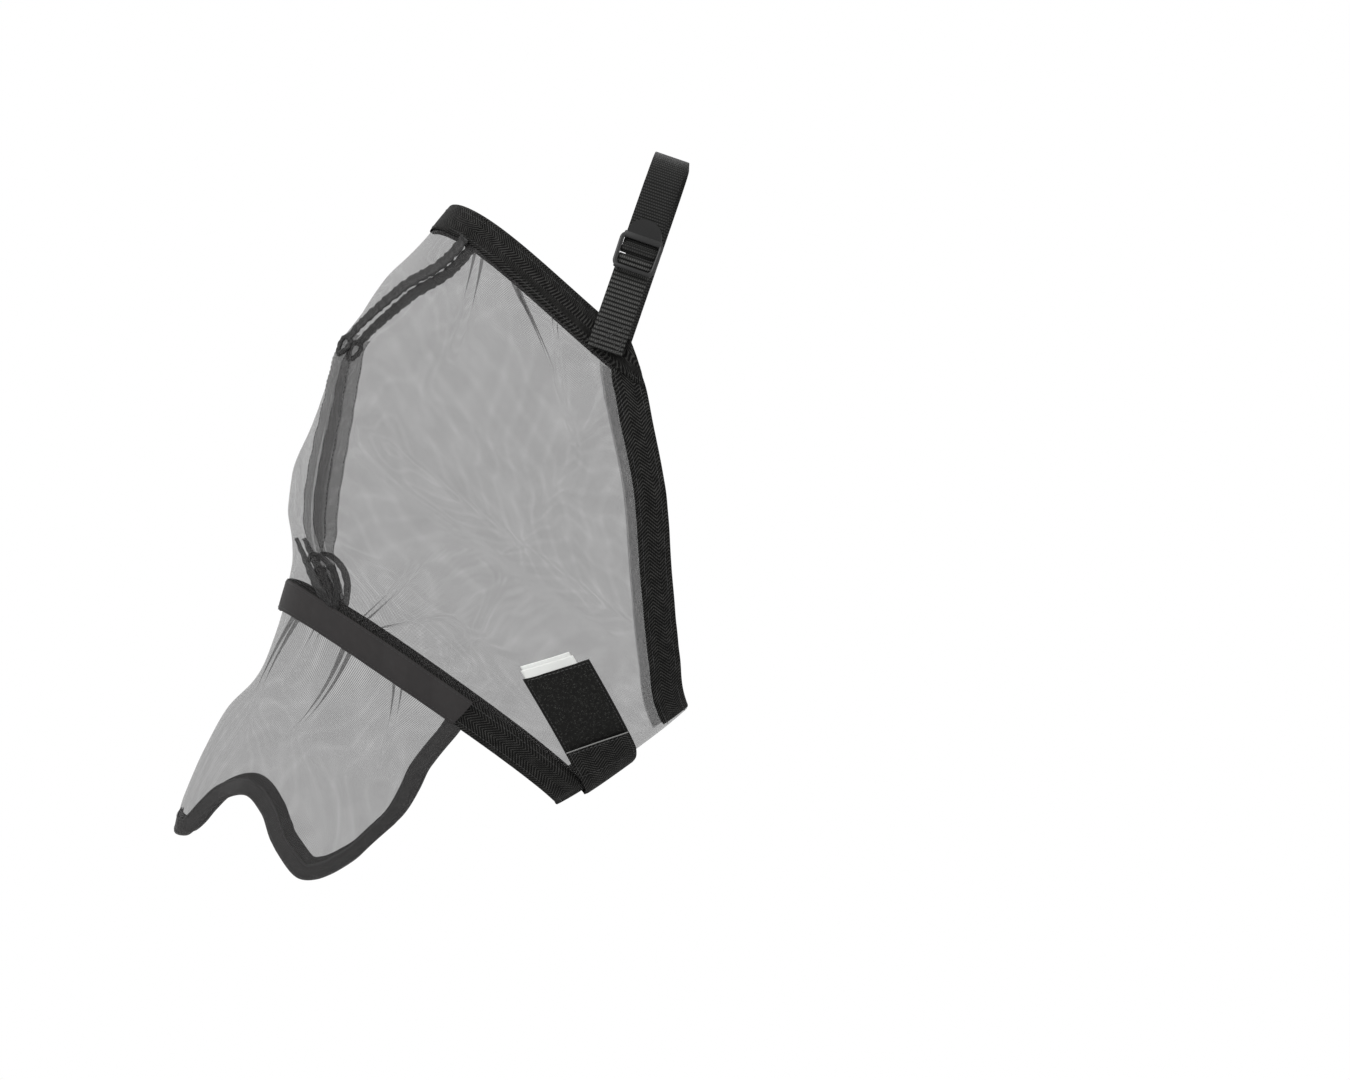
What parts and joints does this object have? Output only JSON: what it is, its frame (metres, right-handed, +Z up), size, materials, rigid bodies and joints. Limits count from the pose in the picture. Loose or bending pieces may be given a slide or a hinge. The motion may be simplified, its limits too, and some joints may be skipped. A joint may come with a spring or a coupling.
{
  "type": "horse fly mask",
  "caption": "Horse fly mask of fine black mesh with a nose flap, bound edges, an adjustable crown strap with a ladder-lock buckle and an under-jaw hook-and-loop closure.",
  "frame": {"origin": "middle of the crown strap's flat underside, where it rests on the poll", "axes": "+Z up, -X the way the horse faces, -Y the horse's left (near) side, Y = 0 the plane of symmetry of the head"},
  "size_m": [0.3658, 0.1984, 0.5132],
  "materials": {
    "mesh": "sheer fine mesh",
    "tape": "twill binding tape",
    "webbing": "ribbed webbing",
    "plastic": "moulded satin",
    "hook_and_loop": "napped pile",
    "label": "woven blank label"
  },
  "bodies": {
    "mask": {"forehead_panel": "mesh", "left_cheek_panel": "mesh", "right_cheek_panel": "mesh", "left_brow_dart": "mesh", "right_brow_dart": "mesh", "left_eye_seam": "mesh", "right_eye_seam": "mesh", "left_nose_dart": "mesh", "right_nose_dart": "mesh", "browband_tape": "tape", "noseband_tape": "tape", "left_jaw_tape": "tape", "right_jaw_tape": "tape", "nose_flap_header": "mesh", "crown_strap": "webbing", "crown_tab": "webbing", "loop_patch": "hook_and_loop", "label": "label", "closure_tab_base": "tape"},
    "buckle_body": {"buckle": "plastic", "strap_turn": "webbing"},
    "tail_body": {"strap_tail": "webbing"},
    "tab_body": {"closure_tab": "tape", "hook_patch": "hook_and_loop"},
    "flap_body": {"nose_flap": "mesh", "nose_flap_hem": "tape"}
  },
  "joints": [
    {"name": "buckle_tilt", "type": "hinge", "parent": "mask", "child": "buckle_body", "pos_m": [-0.0257, -0.09204, -0.07464], "axis": [0.9455, 0, -0.3256], "range_deg": [0, 18]},
    {"name": "strap_adjust", "type": "slide", "parent": "buckle_body", "child": "tail_body", "axis": [0.3224, 0.1392, 0.9363], "range_m": [0, 0.03]},
    {"name": "closure_peel", "type": "hinge", "parent": "mask", "child": "tab_body", "pos_m": [-0.04522, 0.00592, -0.43651], "axis": [0.8213, -0.0032, 0.5704], "range_deg": [0, 90]},
    {"name": "nose_flap_lift", "type": "hinge", "parent": "mask", "child": "flap_body", "pos_m": [-0.27787, 0, -0.31661], "axis": [0, 1, 0], "range_deg": [0, 20]}
  ]
}
